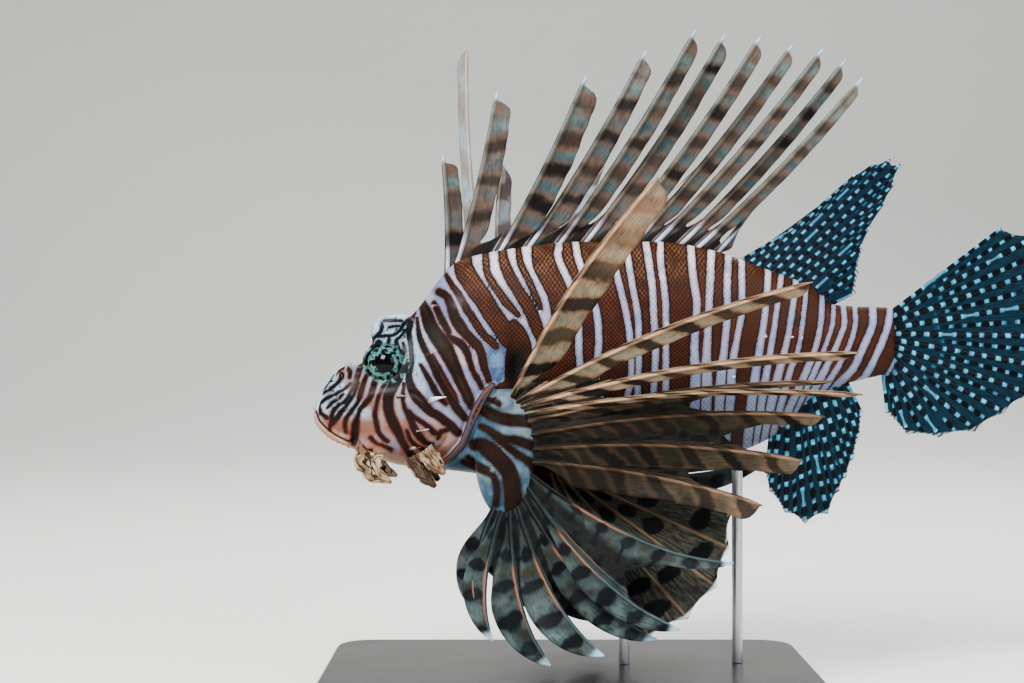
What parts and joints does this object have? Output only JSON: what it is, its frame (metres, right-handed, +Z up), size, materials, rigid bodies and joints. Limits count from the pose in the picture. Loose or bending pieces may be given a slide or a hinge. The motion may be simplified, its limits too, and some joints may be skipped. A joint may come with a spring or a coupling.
{
  "type": "red lionfish display model",
  "caption": "Life-size still model of a red lionfish with fanned pectoral fins and raised dorsal spines, held on a flat base by slim rods",
  "frame": {"origin": "centre of the underside of the stand's base", "axes": "+X from the snout to the tail, +Y to the fish's right side, +Z up"},
  "size_m": [0.3144, 0.1711, 0.2764],
  "materials": {
    "skin": "satin skin, banded red-brown and pale lavender",
    "eye": "glossy black pupil in a pale spotted iris",
    "banded_fin": "thin membrane banded cream and dark brown",
    "dark_fin": "thin olive-grey membrane with dark round spots",
    "spotted_fin": "thin pale blue membrane with rows of black spots",
    "stand_base": "satin black lacquer",
    "stand_rod": "brushed"
  },
  "bodies": {
    "root": {"head": "skin", "trunk": "skin", "tail_stem": "skin", "eye_left": "eye", "eye_right": "eye", "dorsal_spines": "banded_fin", "pectoral_upper_left": "banded_fin", "pectoral_upper_right": "banded_fin", "pectoral_lower_left": "dark_fin", "pectoral_lower_right": "dark_fin", "pelvic_fin_left": "dark_fin", "pelvic_fin_right": "dark_fin", "dorsal_soft_fin": "spotted_fin", "anal_fin": "spotted_fin", "caudal_fin": "spotted_fin", "stand_base": "stand_base", "stand_rod_front": "stand_rod", "stand_rod_rear": "stand_rod"}
  },
  "joints": []
}
